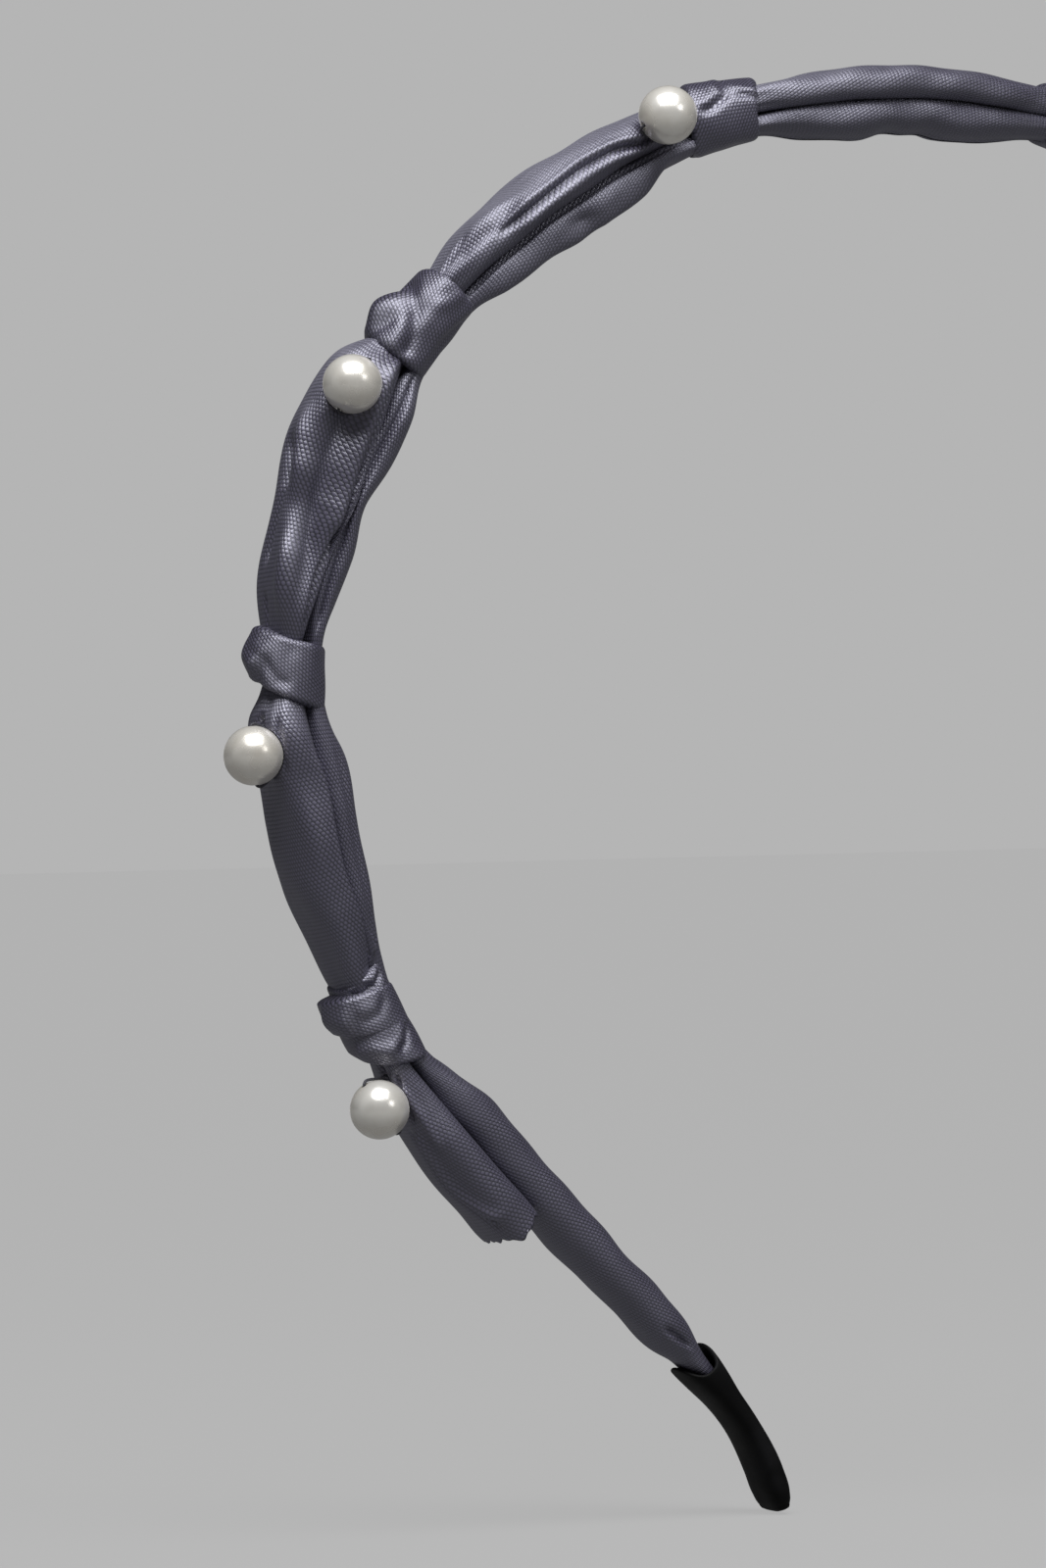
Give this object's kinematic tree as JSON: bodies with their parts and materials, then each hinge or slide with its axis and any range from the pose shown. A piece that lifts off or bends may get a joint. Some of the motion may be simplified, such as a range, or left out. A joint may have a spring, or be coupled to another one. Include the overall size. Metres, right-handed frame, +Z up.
{
  "type": "alice band",
  "caption": "Springy alice band in a satin sleeve, with a satin ribbon knotted along it, a pearl bead sewn beside each knot and a rubber cap on each tip.",
  "frame": {"origin": "middle of the small flat under the crown, where the band rests on the head", "axes": "+X to the wearer's side away from the left arm, along the line from ear to ear; -Y to the front, the side with the pearls; +Z up out of the head"},
  "size_m": [0.1536, 0.0144, 0.1503],
  "materials": {
    "steel": "satin",
    "satin": "satin",
    "pearl": "gloss",
    "thread": "matte",
    "rubber": "matte"
  },
  "bodies": {
    "crown": {"core_crown": "steel", "sleeve_crown": "satin", "ribbon_crown": "satin", "knot_left_1": "satin", "knot_right_1": "satin"},
    "left_1": {"core_left_1": "steel", "sleeve_left_1": "satin", "ribbon_left_1": "satin", "pearl_left_1": "pearl", "thread_left_1": "thread", "knot_left_2": "satin"},
    "left_2": {"core_left_2": "steel", "sleeve_left_2": "satin", "ribbon_left_2": "satin", "pearl_left_2": "pearl", "thread_left_2": "thread", "knot_left_3": "satin"},
    "left_3": {"core_left_3": "steel", "sleeve_left_3": "satin", "ribbon_left_3": "satin", "pearl_left_3": "pearl", "thread_left_3": "thread", "knot_left_4": "satin"},
    "left_4": {"core_left_4": "steel", "sleeve_left_4": "satin", "ribbon_tail_left": "satin", "pearl_left_4": "pearl", "thread_left_4": "thread", "tip_cap_left": "rubber"},
    "right_1": {"core_right_1": "steel", "sleeve_right_1": "satin", "ribbon_right_1": "satin", "pearl_right_1": "pearl", "thread_right_1": "thread", "knot_right_2": "satin"},
    "right_2": {"core_right_2": "steel", "sleeve_right_2": "satin", "ribbon_right_2": "satin", "pearl_right_2": "pearl", "thread_right_2": "thread", "knot_right_3": "satin"},
    "right_3": {"core_right_3": "steel", "sleeve_right_3": "satin", "ribbon_right_3": "satin", "pearl_right_3": "pearl", "thread_right_3": "thread", "knot_right_4": "satin"},
    "right_4": {"core_right_4": "steel", "sleeve_right_4": "satin", "ribbon_tail_right": "satin", "pearl_right_4": "pearl", "thread_right_4": "thread", "tip_cap_right": "rubber"}
  },
  "joints": [
    {"name": "flex_left_1", "type": "hinge", "parent": "crown", "child": "left_1", "pos_m": [-0.01945, 0, 0.00018], "axis": [0, 1, 0], "range_deg": [-2, 6.5], "stiffness_Nm_per_rad": 0.6},
    {"name": "flex_left_2", "type": "hinge", "parent": "left_1", "child": "left_2", "pos_m": [-0.05292, 0, -0.02152], "axis": [0, 1, 0], "range_deg": [-2, 6.5], "stiffness_Nm_per_rad": 0.6},
    {"name": "flex_left_3", "type": "hinge", "parent": "left_2", "child": "left_3", "pos_m": [-0.06709, 0, -0.05513], "axis": [0, 1, 0], "range_deg": [-2, 6.5], "stiffness_Nm_per_rad": 0.6},
    {"name": "flex_left_4", "type": "hinge", "parent": "left_3", "child": "left_4", "pos_m": [-0.05962, 0, -0.08865], "axis": [0, 1, 0], "range_deg": [-2, 6.5], "stiffness_Nm_per_rad": 0.6},
    {"name": "flex_right_1", "type": "hinge", "parent": "crown", "child": "right_1", "pos_m": [0.01945, 0, 0.00018], "axis": [0, -1, 0], "range_deg": [-2, 6.5], "stiffness_Nm_per_rad": 0.6},
    {"name": "flex_right_2", "type": "hinge", "parent": "right_1", "child": "right_2", "pos_m": [0.05292, 0, -0.02152], "axis": [0, -1, 0], "range_deg": [-2, 6.5], "stiffness_Nm_per_rad": 0.6},
    {"name": "flex_right_3", "type": "hinge", "parent": "right_2", "child": "right_3", "pos_m": [0.06709, 0, -0.05513], "axis": [0, -1, 0], "range_deg": [-2, 6.5], "stiffness_Nm_per_rad": 0.6},
    {"name": "flex_right_4", "type": "hinge", "parent": "right_3", "child": "right_4", "pos_m": [0.05962, 0, -0.08865], "axis": [0, -1, 0], "range_deg": [-2, 6.5], "stiffness_Nm_per_rad": 0.6}
  ],
  "couplings": [
    {"joint": "flex_left_2", "follows": "flex_left_1", "ratio": 1},
    {"joint": "flex_left_3", "follows": "flex_left_1", "ratio": 1},
    {"joint": "flex_left_4", "follows": "flex_left_1", "ratio": 1},
    {"joint": "flex_right_1", "follows": "flex_left_1", "ratio": 1},
    {"joint": "flex_right_2", "follows": "flex_left_1", "ratio": 1},
    {"joint": "flex_right_3", "follows": "flex_left_1", "ratio": 1},
    {"joint": "flex_right_4", "follows": "flex_left_1", "ratio": 1}
  ]
}
